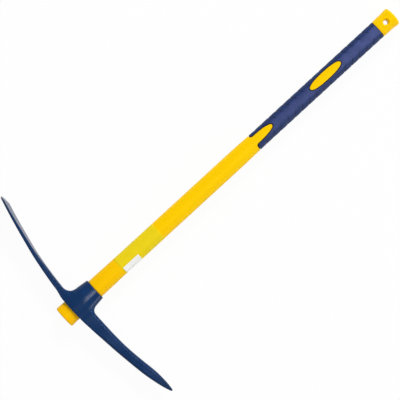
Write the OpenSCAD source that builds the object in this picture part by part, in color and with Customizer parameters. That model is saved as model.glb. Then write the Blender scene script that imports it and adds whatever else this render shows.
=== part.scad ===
// Pick axe: a forged slip-eye head on a moulded handle with a fibreglass core.
// It lies on its side: +X runs down the handle from the head end, +Y is the blade, +Z is up.

/* [Handle] */
// Length from the head end to the butt
handle_len = 950; // [800:5:1100]
// Width of the oval where it leaves the collar
neck_w = 43; // [40:0.5:47]
// Thickness of the oval as a share of its width
oval = 0.78; // [0.72:0.01:0.9]
// Gain in half width from the collar's rim to the head end
swell = 3.3; // [2:0.1:4.5]
// Loss in half width from the collar's rim to the middle of the shaft
shaft_slim = 0.9; // [0.4:0.1:1.4]
// Length over which the shaft slims
slim_len = 110; // [60:5:200]
// Loss in half width from the collar's rim to the grip
grip_slim = 2; // [1.5:0.1:3]
// Length over which the shaft runs down to the grip
run_len = 50; // [30:5:80]
// Loss in half width from the collar's rim to the flared butt
butt_slim = 0.6; // [0.4:0.1:1.2]
// Length of the flare at the butt
flare_len = 36; // [20:1:42]
// Rounding of the handle's two ends
end_round = 3; // [1.5:0.5:4]

/* [Hang hole] */
// Diameter of the hang hole
hole_d = 10.4; // [8:0.2:13]
// Distance from the butt to the hang hole
hole_back = 24; // [18:1:30]
// Chamfer at the mouths of the hang hole
hole_chamfer = 2.2; // [1:0.1:3]

/* [Grip] */
// Length of the soft grip
grip_len = 357; // [260:1:420]
// Length of the hard cap past the grip
cap_len = 44; // [38:1:60]
// Thickness of the soft skin
grip_skin = 2.4; // [1.6:0.1:3]
// Length of the oval window in the grip
window_len = 89.5; // [60:0.5:120]
// Width of the oval window
window_w = 20.6; // [14:0.2:24]
// Distance from the grip's end to the middle of the window
window_back = 149.5; // [90:0.5:180]
// Length of the tongue that runs into the grip
tongue_len = 54; // [30:1:80]
// Set of the window and tongue towards the blade
window_set = 2; // [0:0.1:3]
// Rounding of the grip's two prongs
prong_round = 6; // [3:0.5:8]

/* [Core] */
// Diameter of the fibreglass rod
core_d = 20; // [14:0.5:21]
// Distance from the rod's end to the butt
core_short = 60; // [45:1:120]

/* [Eye] */
// Length of handle that stands out past the head
stub_out = 24; // [15:0.5:35]
// Length of the eye
eye_len = 65.6; // [55:0.2:80]
// Wall of the collar at its rim
collar_wall = 3.3; // [2.5:0.1:5]
// Gain in half width of the collar from its rim to the arms
collar_flare = 4; // [2.5:0.1:5]
// Length of the collar's flare
collar_run = 32; // [24:1:36]
// Rounding of the collar's edges
collar_round = 1.4; // [0.8:0.1:2]

/* [Blade] */
// Reach of the blade from the handle's axis
blade_reach = 278; // [230:1:320]
// Drop of the blade's edge towards the grip
blade_drop = 48.2; // [30:0.2:60]
// Set-back of the blade's back from the end of the eye
blade_set = 1.4; // [0.5:0.1:3]
// Width of the blade at its edge
blade_w = 52; // [40:1:70]
// Width of the blade at its waist
waist_w = 27; // [24:0.5:32]
// Thickness of the blade at its root
blade_root = 13.6; // [11:0.2:17]
// Thickness of the blade at its rib
rib_t = 9.6; // [8:0.2:12]
// Thickness of the blade at its long edges
side_t = 5; // [4:0.2:7]
// Width of the rib's crest
crest_w = 4; // [2:0.5:8]
// Length of the bevel at the cutting edge
bevel_len = 23; // [15:1:35]
// Thickness of the cutting edge
edge_t = 0.8; // [0.5:0.1:1.5]
// Bow of the cutting edge
edge_bow = 5; // [2:0.5:9]
// Radius where the blade runs into the collar
blade_fillet = 24; // [16:1:26]

/* [Point] */
// Reach of the point from the handle's axis
pick_reach = 271; // [220:1:320]
// Drop of the tip towards the grip
pick_drop = 24.6; // [12:0.2:40]
// Set-back of the arm's back from the end of the eye
pick_set = 0.3; // [0.2:0.1:3]
// Thickness of the arm at its root
pick_root = 31; // [26:0.5:34]
// Thickness and depth of the arm along its length
pick_t = 21; // [18:0.5:24]
// Length of the drawn-out tip
tip_len = 70; // [45:1:100]
// Chamfer along the arm's four edges
chamfer = 4; // [2:0.2:6]
// Radius where the point runs into the collar
pick_fillet = 16; // [12:1:20]

/* [Fits] */
// Clearance between the eye and the handle
eye_gap = 0.4; // [0.3:0.05:0.6]
// Clearance round the soft grip
grip_gap = 0.05; // [0.03:0.01:0.15]
// Clearance round the fibreglass rod
core_gap = 0.05; // [0.03:0.01:0.15]

/* [Hidden] */
$fn = 96;
eps = 1;

// Sides and squareness of the handle's oval
sides = 40;
square_p = 2.2;

// Half widths and stations of the handle
r_neck = neck_w / 2;
r_shaft = r_neck - shaft_slim;
r_grip = r_neck - grip_slim;
r_butt = r_neck - butt_slim;
rim_x = stub_out + eye_len;
grip_x1 = handle_len - cap_len;
grip_x0 = grip_x1 - grip_len;
flare_x = handle_len - flare_len;
hole_x = handle_len - hole_back;

// Half widths of the collar
r_rim = r_neck + eye_gap + collar_wall;
r_boss = r_rim + collar_flare;

// Backs and inner faces of the arms at the eye
blade_x0 = stub_out + blade_set;
blade_x1 = blade_x0 + blade_root;
pick_x0 = stub_out + pick_set;
pick_x1 = pick_x0 + pick_root;

// Root of the arms inside the collar
cheek_y = 0.55 * r_boss;
cheek_h = oval * sqrt(r_boss * r_boss - cheek_y * cheek_y);
cheek_run = r_boss;
sink = 0.3;

// Shapes of the droop: share of the reach, share of the drop
blade_bend = 1.68;
pick_line = [[0, 0], [0.2, 0.01], [0.46, 0.17], [0.65, 0.42], [0.84, 0.75], [1, 1]];
pick_swell = [[0, 1], [0.2, 0.72], [0.37, 0.28], [0.56, 0], [1, 0]];

// Smooth step between 0 and 1
function ease(t) = let (k = min(max(t, 0), 1)) k * k * (3 - 2 * k);

// Straight mix of two values
function mix(a, b, t) = a + (b - a) * t;

// Values from a up to b, b left out
function steps(a, b, n) = [for (i = [0 : n - 1]) mix(a, b, i / n)];

// Smooth curve through the points p
function span(p, t, i = 0) = i >= len(p) - 2 || t < p[i + 1][0] ? i : span(p, t, i + 1);
function rise(p, i, j) = (p[j][1] - p[i][1]) / (p[j][0] - p[i][0]);
function tangent(p, i) = rise(p, max(i - 1, 0), min(i + 1, len(p) - 1));
function hermite(a, b, m, n, k) =
    a * (1 + 2 * k) * pow(1 - k, 2) + m * k * pow(1 - k, 2)
    + b * k * k * (3 - 2 * k) + n * k * k * (k - 1);
function curve(p, t) =
    let (i = span(p, t), h = p[i + 1][0] - p[i][0], k = (t - p[i][0]) / h)
    hermite(p[i][1], p[i + 1][1], h * tangent(p, i), h * tangent(p, i + 1), k);

// Half width of the handle's taper, which the eye repeats
function taper_r(x) = r_neck + swell * (rim_x - x) / rim_x;

// Half width of the handle along its length
function handle_r(x) =
    x < rim_x ? taper_r(x)
    : x < grip_x0 - run_len ? mix(r_neck, r_shaft, ease((x - rim_x) / slim_len))
    : x < grip_x0 ? mix(r_shaft, r_grip, ease((x - grip_x0 + run_len) / run_len))
    : mix(r_grip, r_butt, ease((x - flare_x) / (flare_len - end_round)));

// Half width of the collar along the handle
function collar_r(x) = mix(r_rim, r_boss, min(1, (rim_x - x) / collar_run));

// Rounded oval outline in the plane of the head
function oval_ring(a, b, p, n) =
    [for (i = [0 : n - 1]) let (c = cos(360 * i / n), s = sin(360 * i / n))
        [a * sign(c) * pow(abs(c), 2 / p), b * sign(s) * pow(abs(s), 2 / p)]];

// Skin through rings with the same number of points
module skin(rings) {
    n = len(rings[0]);
    last = (len(rings) - 1) * n;
    wall = [for (i = [0 : len(rings) - 2], j = [0 : n - 1])
        let (a = i * n + j, b = i * n + (j + 1) % n)
        each [[a, a + n, b], [b, a + n, b + n]]];
    cap0 = [for (j = [1 : n - 2]) [0, j, j + 1]];
    cap1 = [for (j = [1 : n - 2]) [last, last + j + 1, last + j]];
    polyhedron([for (r = rings) each r], concat(wall, cap0, cap1));
}

// Oval section of the handle at x with half width r
function oval_at(x, r) = [for (q = oval_ring(r, oval * r, square_p, sides)) [x, q[0], q[1]]];

// Oval solid along the handle's axis through pairs of half width and station
module oval_loft(profile) {
    skin([for (p = profile) oval_at(p[1], p[0])]);
}

// Outline of the window and the tongue, grown by g
module islands(g) {
    translate([grip_x1 - window_back, window_set])
        offset(delta = g)
            polygon(oval_ring(window_len / 2, window_w / 2, 2.6, 40));
    offset(delta = g)
        offset(r = -prong_round)
            offset(delta = prong_round) {
                translate([grip_x0, window_set])
                    polygon(oval_ring(tongue_len, window_w / 2, 2.6, 40));
                translate([grip_x0 - tongue_len - eps, -neck_w])
                    square([tongue_len + eps, 2 * neck_w]);
            }
}

// Upright posts over the window and the tongue
module posts(g) {
    translate([0, 0, -neck_w])
        linear_extrude(2 * neck_w)
            islands(g);
}

// Hang hole with chamfered mouths
module hang_hole() {
    mouth = oval * handle_r(hole_x);
    translate([hole_x, 0, 0]) {
        cylinder(d = hole_d, h = neck_w, center = true);
        for (side = [0, 1])
            mirror([0, 0, side])
                translate([0, 0, mouth - hole_chamfer])
                    cylinder(d1 = hole_d, d2 = hole_d + 4 * hole_chamfer, h = 2 * hole_chamfer);
    }
}

// Hard jacket: swelled head end, shaft, raised window and tongue, flared butt
module handle_jacket() {
    x_end = handle_len - end_round;
    r_floor = r_grip - grip_skin;
    corner = [for (a = [0 : 30 : 90]) [1 - sin(a), 1 - cos(a)]];
    head_end = [for (c = corner) [taper_r(end_round * c[1]) - end_round * c[0], end_round * c[1]]];
    slim = [for (x = steps(rim_x, rim_x + slim_len, 5)) [handle_r(x), x]];
    run = [for (x = steps(grip_x0 - run_len, grip_x0, 5)) [handle_r(x), x]];
    recess = [[r_grip, grip_x0], [r_floor, grip_x0], [r_floor, grip_x1], [r_grip, grip_x1]];
    flare = [for (x = steps(flare_x, x_end, 5)) [handle_r(x), x]];
    butt = [for (c = corner) [r_butt - end_round * c[1], handle_len - end_round * c[0]]];
    shaft = [[r_shaft, rim_x + slim_len]];
    color("gold")
        difference() {
            union() {
                oval_loft(concat(head_end, slim, shaft, run, recess, flare, butt));
                intersection() {
                    oval_loft([[r_grip, grip_x0 - eps], [r_grip, grip_x1 - eps]]);
                    posts(0);
                }
            }
            translate([-eps, 0, 0])
                rotate([0, 90, 0])
                    cylinder(r = core_d / 2 + core_gap, h = handle_len - core_short + eps);
            hang_hole();
        }
}

// Fibreglass rod, flush with the head end
module fibreglass_core() {
    color("ivory")
        rotate([0, 90, 0])
            cylinder(d = core_d, h = handle_len - core_short);
}

// Soft grip moulded round the window and the tongue
module grip_sleeve() {
    r_in = r_grip - grip_skin + grip_gap;
    x0 = grip_x0 + grip_gap;
    x1 = grip_x1 - grip_gap;
    color("slateblue")
        difference() {
            oval_loft([[r_grip, x0], [r_grip, x1]]);
            oval_loft([[r_in, x0 - eps], [r_in, x1 + eps]]);
            posts(grip_gap);
        }
}

// Radius that carries the arm's inner face up to the collar
function fillet(d, r) = d >= r ? 0 : r - sqrt(r * r - pow(r - max(d, 0), 2));

// Start of that radius, sunk in the collar's wall
function fillet_y(x, r) = collar_r(x + r) - sink;

// Rise of the arm's half depth into the cheek of the eye
function cheek(y, h) = (cheek_h - h) * pow(1 - min(max((y - cheek_y) / cheek_run, 0), 1), 2);

// Section of an arm: back x0, inner face x1, half depth h, cut c at the back, shoulder x3, crest z4
function arm_ring(y, x0, x1, h, c, x3, z4) =
    [[x0, y, h - c], [x0 + c, y, h], [x3, y, h], [x1, y, z4],
     [x1, y, -z4], [x3, y, -h], [x0 + c, y, -h], [x0, y, c - h]];

// Draw-out of the tip from the full section
function tip_draw(y) = pow(1 - pow(1 - min((pick_reach - y) / tip_len, 0.999), 1.6), 0.65);

// Section of the pointed arm at the distance y from the axis
function pick_ring(y) =
    let (
        u = y / pick_reach,
        k = max(tip_draw(y), 0.06),
        t = mix(pick_t, pick_root, curve(pick_swell, u)) * k,
        mid = pick_x0 + pick_root / 2 + pick_drop * curve(pick_line, u),
        x1 = mid + t / 2 + fillet(y - fillet_y(pick_x1, pick_fillet), pick_fillet),
        base = pick_t / 2 * k,
        h = base + cheek(y, base),
        c = chamfer * k
    )
    arm_ring(-y, mid - t / 2, x1, h, c, x1 - c, h - c);

// Section of the blade at the distance y from the axis
function blade_ring(y) =
    let (
        u = y / blade_reach,
        s = blade_reach - y,
        body = mix(blade_root, rib_t, ease((u - 0.15) / 0.4)),
        t = mix(edge_t, body, min(1, s / bevel_len)),
        k = t / body,
        x0 = blade_x0 + blade_drop * pow(u, blade_bend),
        x1 = x0 + t + fillet(y - fillet_y(blade_x1, blade_fillet), blade_fillet),
        base = mix(waist_w, blade_w, pow(max(u - 0.2, 0) / 0.8, 1.2)) / 2,
        bow = sqrt(1 - pow(min(max(1 - s / edge_bow, 0), 0.97), 2)),
        h = (base + cheek(y, base)) * bow,
        c = chamfer / 2 * k,
        roof = ease((u - 0.38) / 0.45),
        x3 = mix(x1 - c, x0 + side_t * k, roof),
        z4 = mix(h - c, min(crest_w, h) / 2, roof)
    )
    arm_ring(y, x0, x1, h, c / 2, x3, z4);

// Stations of the point, from its tip to the eye
function pick_stations() =
    let (
        root = fillet_y(pick_x1, pick_fillet),
        full = pick_reach - tip_len
    )
    concat(
        [for (i = [0 : 8]) pick_reach - tip_len * pow(i / 9, 1.7)],
        steps(full, root + pick_fillet, 12),
        [for (i = [8 : -1 : 0]) root + pick_fillet * pow(i / 8, 1.6)],
        [cheek_y]
    );

// Stations of the blade, from the eye to its edge
function blade_stations() =
    let (
        root = fillet_y(blade_x1, blade_fillet),
        full = blade_reach - bevel_len,
        bowed = blade_reach - edge_bow
    )
    concat(
        [cheek_y],
        [for (i = [0 : 7]) root + blade_fillet * pow(i / 8, 1.6)],
        steps(root + blade_fillet, full, 14),
        steps(full, bowed, 3),
        [for (i = [8 : -1 : 0]) blade_reach - edge_bow * pow(i / 8, 2)]
    );

// Forged head: point and blade drawn out of one bar, with the collared eye
module pick_head() {
    arms = concat([for (y = pick_stations()) pick_ring(y)], [for (y = blade_stations()) blade_ring(y)]);
    arc = [for (a = [0 : 30 : 90]) [1 - cos(a), 1 - sin(a)]];
    boss = [for (c = arc) [r_boss - collar_round * c[1], stub_out + collar_round * c[0]]];
    rim = [for (c = arc) [r_rim - collar_round * c[0], rim_x - collar_round * c[1]]];
    eye = [for (x = [stub_out - eps, rim_x + eps]) [taper_r(x) + eye_gap, x]];
    color("midnightblue")
        difference() {
            union() {
                skin(arms);
                oval_loft(concat(boss, [[r_boss, rim_x - collar_run]], rim));
            }
            oval_loft(eye);
        }
}

handle_jacket();
fibreglass_core();
grip_sleeve();
pick_head();
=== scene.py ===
"""Dressed scene of a long-handled pick axe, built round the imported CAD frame.

Every length is in metres. +X runs down the handle from the head end, +Y is the blade, +Z is up.
"""

import logging
from collections.abc import Callable
from dataclasses import dataclass
from enum import Enum

import bmesh
import bpy
import numpy as np
from mathutils import Matrix


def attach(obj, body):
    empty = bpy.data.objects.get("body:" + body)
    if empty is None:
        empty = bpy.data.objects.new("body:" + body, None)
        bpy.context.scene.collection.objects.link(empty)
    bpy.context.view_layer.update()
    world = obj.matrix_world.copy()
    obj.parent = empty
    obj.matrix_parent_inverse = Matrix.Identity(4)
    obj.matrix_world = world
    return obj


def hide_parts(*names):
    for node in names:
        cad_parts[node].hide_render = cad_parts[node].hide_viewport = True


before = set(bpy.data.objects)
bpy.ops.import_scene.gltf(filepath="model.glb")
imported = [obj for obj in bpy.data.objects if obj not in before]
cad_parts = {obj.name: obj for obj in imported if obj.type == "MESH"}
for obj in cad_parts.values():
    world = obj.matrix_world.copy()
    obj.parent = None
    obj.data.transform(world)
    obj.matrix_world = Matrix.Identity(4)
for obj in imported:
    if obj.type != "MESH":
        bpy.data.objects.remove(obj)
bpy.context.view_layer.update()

LOG = logging.getLogger("pick_axe")
SAME_POINT = 2e-7  # points closer than this are merged
TINY = 1e-6  # length that counts as nothing
HALVINGS = 40  # steps in which a ray finds the surface
MIDDLE = (0.3, 0.7)  # band in which most values of a noise lie
SPECK_EDGE = (0.06, 0.2)  # where a speck ends, in cells of its pattern
GRAIN_PARTS = ("Mottle", "Grain", "Specks")
INWARD = 0.9  # share of its distance from the axis at which a point is behind an outer skin
OUTWARD = 1.1  # the same behind an inner wall

Array = np.ndarray
Level = Callable[[Array], Array]
Span = tuple[float, float]
Place = tuple[float, float, float]
Colour = tuple[float, float, float]
Socket = bpy.types.NodeSocket


class Body(Enum):
    """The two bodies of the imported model."""

    HANDLE = "handle"
    HEAD = "head"


class Arm(Enum):
    """The two arms of the head, with the sign of the side they reach to."""

    BLADE = 1
    POINT = -1


# ---------------------------------------------------------------- shapes


def ease(t: Array) -> Array:
    """Smooth step 3t² - 2t³ of t held between 0 and 1."""
    k = np.clip(t, 0.0, 1.0)
    return k * k * (3.0 - 2.0 * k)


def ramp(t: Array, start: Array | float, run: float) -> Array:
    """Smooth step from 0 at the start to 1 at the end of a run."""
    return ease((t - start) / run)


def bell(away: Array, width: float) -> Array:
    """Bell curve exp(-(away / width)²)."""
    return np.exp(-((away / width) ** 2))


def mix(a: Array | float, b: Array | float, t: Array | float) -> Array:
    """Straight mix of a and b."""
    return a + (np.asarray(b) - a) * t


def smooth_max(a: Array, b: Array, k: Array | float) -> Array:
    """Larger of two fields, with their corner rounded over the width k: max + (k - |a - b|)² / 4k.

    Args:
        a: First field.
        b: Second field.
        k: Width of the rounding, above zero.

    Returns:
        The joined field.
    """
    near = np.maximum(k - np.abs(a - b), 0.0)
    return np.maximum(a, b) + near * near / (4.0 * k)


def smooth_min(a: Array, b: Array, k: Array | float) -> Array:
    """Smaller of two fields, with their corner filled over the width k."""
    return -smooth_max(-a, -b, k)


def curve(points: tuple[Span, ...], t: Array) -> Array:
    """Cubic through points whose slope at each point is that of the line between its neighbours.

    Args:
        points: Pairs of place and value, in order.
        t: Places to read.

    Returns:
        The values at t.
    """
    place, value = np.array(points).T
    ends = np.arange(len(place))
    before, after = np.maximum(ends - 1, 0), np.minimum(ends + 1, len(place) - 1)
    slope = (value[after] - value[before]) / (place[after] - place[before])
    i = np.clip(np.searchsorted(place, t, side="right") - 1, 0, len(place) - 2)
    h = place[i + 1] - place[i]
    k = (t - place[i]) / h
    j = 1.0 - k
    return (
        value[i] * (1 + 2 * k) * j * j
        + h * slope[i] * k * j * j
        + value[i + 1] * k * k * (3 - 2 * k)
        - h * slope[i + 1] * k * k * j
    )


def column(values: tuple[float, ...]) -> Array:
    """Numbers as an upright column, one for each row of a grid."""
    return np.array(values)[:, None]


def stations(*spans: tuple[float, float, int]) -> Array:
    """Places in a row: each span gives its start, its end and the number of steps."""
    parts = [np.linspace(a, b, n, endpoint=False) for a, b, n in spans]
    return np.append(np.concatenate(parts), spans[-1][1])


def between(first: Array, last: Array, steps: int) -> Array:
    """Rows at even steps from one row to another, without the two."""
    return first + (last - first) * np.linspace(0.0, 1.0, steps + 1)[1:-1, None, None]


def full_turn(count: int) -> Array:
    """Even angles once round."""
    return np.linspace(0.0, 2 * np.pi, count, endpoint=False)


def from_axis(points: Array, share: float) -> Array:
    """Points with their distance from the handle's axis scaled by a share."""
    return points * np.array([1.0, share, share])


def oval_unit(angle: Array, power: float) -> tuple[Array, Array]:
    """Unit squared oval |y|^p + |z|^p = 1 at an angle.

    Args:
        angle: Angle round the oval.
        power: Exponent p.

    Returns:
        The two coordinates.
    """
    c, s = np.cos(angle), np.sin(angle)
    return np.sign(c) * np.abs(c) ** (2 / power), np.sign(s) * np.abs(s) ** (2 / power)


def oval_level(u: Array, v: Array, a: Array | float, b: Array | float, power: float) -> Array:
    """Distance to a squared oval: f - 1 over the slope of f, where f^p = |u / a|^p + |v / b|^p.

    Args:
        u: First coordinate.
        v: Second coordinate.
        a: Half axis along the first coordinate.
        b: Half axis along the second.
        power: Exponent p.

    Returns:
        The distance, below zero inside.
    """
    s, t = np.abs(u) / a, np.abs(v) / b
    f = np.maximum((s**power + t**power) ** (1 / power), TINY)
    return (f - 1.0) / np.hypot((s / f) ** (power - 1) / a, (t / f) ** (power - 1) / b)


def cast(level: Level, start: Array, way: Array, reach: Array | float) -> Array:
    """Points where rays leave a shape, found by halving the span between inside and outside.

    Args:
        level: Field that is below zero inside the shape.
        start: Start of each ray, inside the shape.
        way: Direction and unit of each ray.
        reach: Length of each ray in its own unit.

    Returns:
        The points start + s * way at which the field turns to zero.
    """
    start, way = np.broadcast_arrays(start, way)
    low = np.zeros(way.shape[:-1])
    high = low + reach
    for _ in range(HALVINGS):
        mid = (low + high) / 2
        inside = level(start + mid[..., None] * way) < 0
        low, high = np.where(inside, mid, low), np.where(inside, high, mid)
    return start + low[..., None] * way


@dataclass
class Sheet:
    """Grid of points that becomes quads, turned so that its faces look away from the inside.

    Attributes:
        points: Points as rows, columns and coordinates.
        inside: A point behind the surface for each point, in any shape that fits the grid.
        loop_rows: Whether the last row joins the first.
        loop_cols: Whether the last column joins the first.
        keep: Points that are wanted; a quad goes when none of its corners is.
        fans: Which of the first and last rows are closed by a fan.
        marks: Strength of a mark at each point, for the finish to read: painted shade on the handle's pieces,
            wear of the paint on the blade.
    """

    points: Array
    inside: Array
    loop_rows: bool = False
    loop_cols: bool = True
    keep: Array | None = None
    fans: tuple[bool, bool] = (False, False)
    marks: Array | None = None

    def quads(self) -> Array:
        """Quads of the grid, without those that aren't wanted.

        Returns:
            The four corner numbers of each quad.
        """
        rows, cols = self.points.shape[:2]
        i, j = np.meshgrid(
            np.arange(rows - (not self.loop_rows)),
            np.arange(cols - (not self.loop_cols)),
            indexing="ij",
        )
        i2, j2 = (i + 1) % rows, (j + 1) % cols
        corners = np.stack([i * cols + j, i2 * cols + j, i2 * cols + j2, i * cols + j2], -1)
        corners = corners.reshape(-1, 4)
        if self.keep is not None:
            corners = corners[self.keep.reshape(-1)[corners].any(axis=1)]
        return corners

    def faces(self) -> tuple[Array, list[list[int]]]:
        """Points and faces of the sheet, fans included.

        Returns:
            The points as one list and the corner numbers of each face.
        """
        flat = self.points.reshape(-1, 3)
        rows, cols = self.points.shape[:2]
        quads = self.quads()
        a, b, c, d = (flat[quads[:, n]] for n in range(4))
        normal = np.cross(c - a, d - b)
        behind = np.broadcast_to(self.inside, self.points.shape).reshape(-1, 3)[quads[:, 0]]
        turned = float(np.sum(normal * (a - behind))) < 0.0
        faces = (quads[:, ::-1] if turned else quads).tolist()
        for wanted, first, way in ((self.fans[0], 0, 1), (self.fans[1], (rows - 1) * cols, -1)):
            if wanted:
                rim = first + np.arange(cols)
                pole = len(flat)
                flat = np.vstack([flat, flat[rim].mean(axis=0)])
                near, far = (rim, np.roll(rim, -1)) if way == 1 else (np.roll(rim, -1), rim)
                fan = np.stack([np.full(cols, pole), near, far], -1)
                faces += (fan[:, ::-1] if turned else fan).tolist()
        return flat, faces


def make_piece(name: str, sheets: list[Sheet]) -> bpy.types.Object:
    """One smooth mesh object at the origin from several sheets, with doubled points merged.

    Args:
        name: Name of the piece.
        sheets: The sheets that form it.

    Returns:
        The new object.
    """
    points, marks, faces, count = [], [], [], 0
    for sheet in sheets:
        flat, corners = sheet.faces()
        points.append(flat)
        own = np.zeros(len(flat))
        if sheet.marks is not None:
            own[: sheet.marks.size] = sheet.marks.reshape(-1)
        marks.append(own)
        faces += [[n + count for n in face] for face in corners]
        count += len(flat)
    mesh = bpy.data.meshes.new(name)
    mesh.from_pydata(np.vstack(points).tolist(), [], faces)
    mesh.polygons.foreach_set("use_smooth", np.ones(len(faces), dtype=bool))
    mesh.attributes.new("mark", "FLOAT", "POINT").data.foreach_set("value", np.concatenate(marks))
    joined = bmesh.new()
    joined.from_mesh(mesh)
    bmesh.ops.remove_doubles(joined, verts=joined.verts, dist=SAME_POINT)
    joined.to_mesh(mesh)
    joined.free()
    mesh.validate()
    mesh.update()
    piece = bpy.data.objects.new(name, mesh)
    bpy.context.scene.collection.objects.link(piece)
    return piece


# ---------------------------------------------------------------- finishes


class Tree:
    """Adds and links the nodes of one node tree."""

    def __init__(self, tree: bpy.types.NodeTree) -> None:
        """Keeps the tree that gets the nodes."""
        self.tree = tree

    def feed(self, node: bpy.types.Node, inputs: dict) -> None:
        """Sets or links the inputs of a node.

        Args:
            node: The node.
            inputs: Values or sockets for its inputs, by name or number.
        """
        for key, value in inputs.items():
            if isinstance(value, Socket):
                self.tree.links.new(value, node.inputs[key])
            else:
                node.inputs[key].default_value = value

    def add(self, kind: str, inputs: dict | None = None, **props: object) -> bpy.types.Node:
        """New node.

        Args:
            kind: Blender's name of the node type, without the leading ShaderNode.
            inputs: Values or sockets for its inputs, by name or number.
            props: Properties of the node.

        Returns:
            The node.
        """
        node = self.tree.nodes.new("ShaderNode" + kind)
        for key, value in props.items():
            setattr(node, key, value)
        self.feed(node, inputs or {})
        return node

    def math(self, operation: str, *values: object) -> Socket:
        """Result of a Math node."""
        return self.add("Math", dict(enumerate(values)), operation=operation).outputs[0]

    def times(self, a: Socket, b: object) -> Socket:
        """Product of two values."""
        return self.math("MULTIPLY", a, b)

    def span(self, value: Socket, start: float, end: float, low: float = 0.0, high: float = 1.0) -> Socket:
        """Result of a smooth Map Range node from start and end to low and high."""
        inputs = {"Value": value, "From Min": start, "From Max": end, "To Min": low, "To Max": high}
        return self.add("MapRange", inputs, interpolation_type="SMOOTHSTEP").outputs[0]

    def noise(self, vector: Socket, scale: object, detail: float) -> Socket:
        """Value of a Noise node."""
        inputs = {"Vector": vector, "Scale": scale, "Detail": detail}
        return self.add("TexNoise", inputs).outputs["Fac"]

    def drawn(self, vector: Socket, scale: Place) -> Socket:
        """Coordinates scaled along each axis, which draws a noise out along the smallest."""
        return self.add("Mapping", {"Vector": vector, "Scale": scale}).outputs[0]

    def axes(self, vector: Socket) -> bpy.types.NodeOutputs:
        """The three coordinates of a vector, by the names X, Y and Z."""
        return self.add("SeparateXYZ", {0: vector}).outputs

    def blend(self, factor: Socket, a: object, b: object) -> Socket:
        """Colour of a Mix node."""
        return self.add("Mix", {0: factor, 6: a, 7: b}, data_type="RGBA").outputs[2]

    def mark(self) -> Socket:
        """Strength of the mark that the mesh carries."""
        return self.add("Attribute", attribute_name="mark").outputs["Fac"]


def rgba(colour: Colour, shade: float = 1.0) -> tuple[float, float, float, float]:
    """Colour with full cover, darker or lighter by a shade."""
    return (*(shade * c for c in colour), 1.0)


def grain_group() -> bpy.types.NodeTree:
    """Group shared by all finishes: broad mottle, fine grain and sparse specks of a worked surface.

    Returns:
        The node group, with a scale and an output for each of the three.
    """
    group = bpy.data.node_groups.get("surface_grain")
    if group:
        return group
    group = bpy.data.node_groups.new("surface_grain", "ShaderNodeTree")
    group.interface.new_socket("Vector", in_out="INPUT", socket_type="NodeSocketVector")
    for name in GRAIN_PARTS:
        group.interface.new_socket(name + " Scale", in_out="INPUT", socket_type="NodeSocketFloat")
        group.interface.new_socket(name, in_out="OUTPUT", socket_type="NodeSocketFloat")
    tree = Tree(group)
    source = group.nodes.new("NodeGroupInput").outputs
    place = source["Vector"]
    cells = tree.add("TexVoronoi", {"Vector": place, "Scale": source["Specks Scale"], "Randomness": 1.0})
    tree.feed(group.nodes.new("NodeGroupOutput"), {
        "Mottle": tree.noise(place, source["Mottle Scale"], 3.0),
        "Grain": tree.noise(place, source["Grain Scale"], 2.0),
        "Specks": tree.span(cells.outputs["Distance"], *SPECK_EDGE, 1.0, 0.0),
    })
    return group


@dataclass(frozen=True)
class Coat:
    """A material in the making.

    Attributes:
        material: The material.
        tree: Its nodes.
        place: Object coordinates of the surface.
        grain: Outputs of the shared grain group.
    """

    material: bpy.types.Material
    tree: Tree
    place: Socket
    grain: bpy.types.NodeOutputs


@dataclass(frozen=True)
class Finish:
    """Base of the finishes: a Principled BSDF fed by the shared grain group.

    Attributes:
        name: Name of the material.
        colour: Main colour.
        rough: Roughness.
        relief: Depth of the relief.
        scales: Scales of the mottle, the grain and the specks.
        gloss: How far the roughness goes below and above its plain value.
        shine: Specular level.
        tint: Colour of the specular light.
    """

    name: str
    colour: Colour
    rough: float
    relief: float
    scales: tuple[float, float, float]
    gloss: Span = (0.0, 0.0)
    shine: float = 0.5
    tint: Colour = (1.0, 1.0, 1.0)

    def start(self) -> Coat:
        """Begins the material with its coordinates and its grain.

        Returns:
            The material in the making.
        """
        material = bpy.data.materials.new(self.name)
        material.use_nodes = True
        tree = Tree(material.node_tree)
        place = tree.add("TexCoord").outputs["Object"]
        scales = {name + " Scale": scale for name, scale in zip(GRAIN_PARTS, self.scales)}
        grain = tree.add("Group", {"Vector": place, **scales}, node_tree=grain_group())
        return Coat(material, tree, place, grain.outputs)

    def sheen(self, coat: Coat) -> Socket:
        """Roughness that follows the mottle."""
        low, high = self.rough - self.gloss[0], self.rough + self.gloss[1]
        return coat.tree.span(coat.grain["Mottle"], *MIDDLE, low, high)

    def lay(self, coat: Coat, colour: Socket, rough: object, height: Socket) -> bpy.types.Material:
        """Feeds the layers of the surface to the shader.

        Args:
            coat: The material in the making.
            colour: Colour of the surface.
            rough: Roughness, as a socket or one number.
            height: Height of the relief, as a share of its depth.

        Returns:
            The finished material.
        """
        bump = coat.tree.add("Bump", {"Height": height, "Distance": self.relief, "Strength": 1.0})
        coat.tree.feed(coat.material.node_tree.nodes["Principled BSDF"], {
            "Base Color": colour,
            "Roughness": rough,
            "Specular IOR Level": self.shine,
            "Specular Tint": rgba(self.tint),
            "Normal": bump.outputs["Normal"],
        })
        return coat.material

    def material(self) -> bpy.types.Material:
        """Material of the finish, which each kind of finish makes in its own way."""
        raise NotImplementedError


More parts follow.
